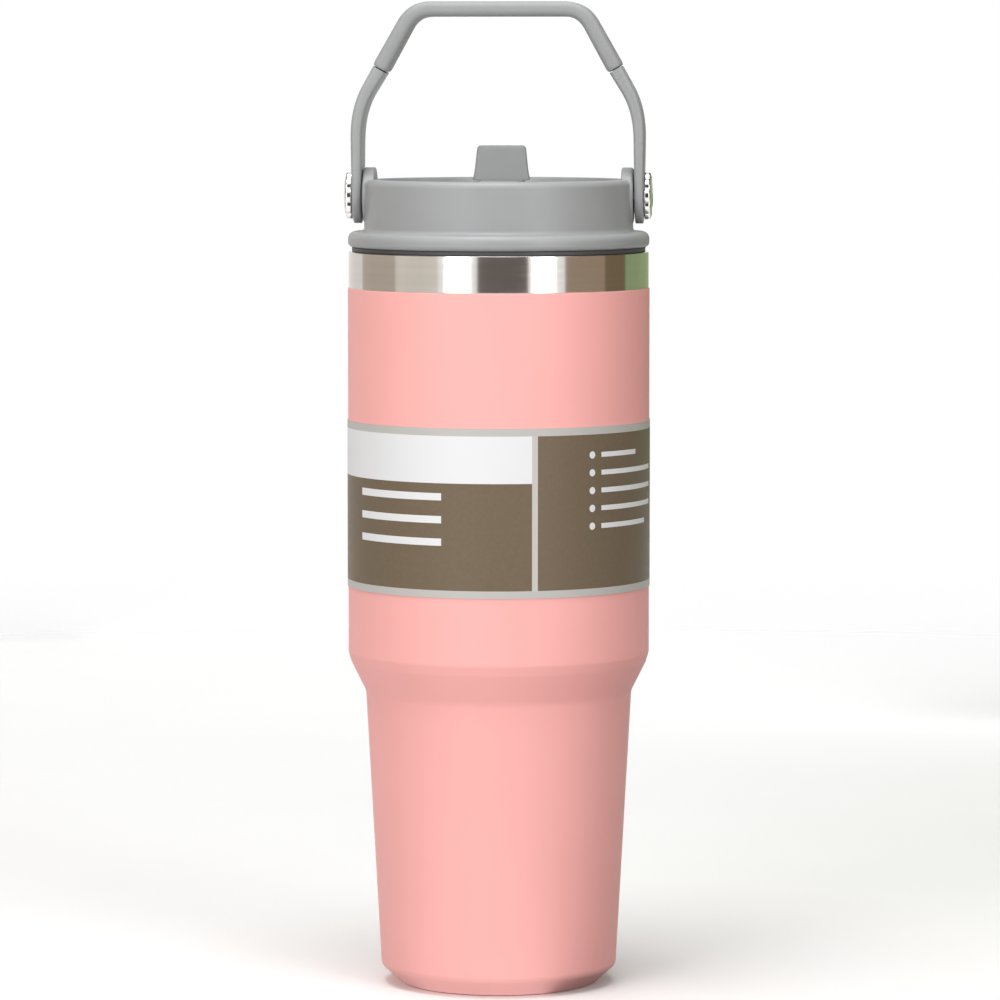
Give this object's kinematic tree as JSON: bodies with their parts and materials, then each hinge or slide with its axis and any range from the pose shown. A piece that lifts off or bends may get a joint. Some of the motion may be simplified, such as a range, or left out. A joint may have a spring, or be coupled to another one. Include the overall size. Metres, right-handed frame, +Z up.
{
  "type": "insulated tumbler",
  "caption": "Tall insulated steel tumbler with pink powder coat, label sleeve, screw-on grey lid, folding spout with straw, and a swinging carry handle.",
  "frame": {"origin": "centre of the foot ring, on the surface the tumbler stands on", "axes": "+Z up along the body's axis, front (label's white panel) towards -Y, the handle's pivots on X"},
  "size_m": [0.0948, 0.094, 0.3033],
  "materials": {
    "brushed_steel": "brushed round the axis, satin",
    "pink_coat": "matte polymer powder coat on steel, fine texture",
    "label_paper": "satin printed card in taupe and white with a silver border",
    "lid_plastic": "fine matte moulded grey",
    "plug_plastic": "dark matte moulded",
    "grip_plastic": "soft-touch matte grey",
    "silicone": "smooth matte silicone",
    "straw_plastic": "smooth frosted",
    "brass": "machined",
    "polished_steel": "polished",
    "nylon": "natural",
    "solder": "dull solder",
    "getter": "sintered, dull"
  },
  "bodies": {
    "vessel": {"outer_shell": "brushed_steel", "powder_coat": "pink_coat", "inner_liner": "brushed_steel", "base_pan": "brushed_steel", "vacuum_seal": "solder", "base_cover": "brushed_steel", "getter_capsule": "getter", "label_sleeve": "label_paper"},
    "lid_seal": {"lid_gasket": "silicone"},
    "lid": {"lid_shell": "lid_plastic", "lid_plug": "plug_plastic", "port_seal": "silicone", "straw_coupler": "silicone", "vent_valve": "silicone", "pivot_insert_left": "brass", "pivot_insert_right": "brass", "pivot_screw_left": "polished_steel", "pivot_screw_right": "polished_steel", "spout_pin_left": "polished_steel", "spout_pin_right": "polished_steel"},
    "handle": {"handle": "lid_plastic", "handle_grip": "grip_plastic", "pivot_washer_left": "nylon", "pivot_washer_right": "nylon"},
    "spout": {"spout_arm": "lid_plastic", "mouthpiece": "silicone"},
    "straw": {"straw": "straw_plastic"}
  },
  "joints": [
    {"name": "lid_lift", "type": "slide", "parent": "vessel", "child": "lid_seal", "axis": [0, 0, 1], "range_m": [0, 0.235]},
    {"name": "lid_turn", "type": "hinge", "parent": "lid_seal", "child": "lid", "pos_m": [0, 0, 0.2281], "axis": [0, 0, 1], "range_deg": [0, 450]},
    {"name": "handle_swing", "type": "hinge", "parent": "lid", "child": "handle", "pos_m": [0, 0, 0.2438], "axis": [1, 0, 0], "range_deg": [-95, 95]},
    {"name": "spout_flip", "type": "hinge", "parent": "lid", "child": "spout", "pos_m": [0, 0.014, 0.2452], "axis": [-1, 0, 0], "range_deg": [0, 90]},
    {"name": "straw_pull", "type": "slide", "parent": "lid", "child": "straw", "axis": [0, 0, -1], "range_m": [0, 0.01]}
  ]
}
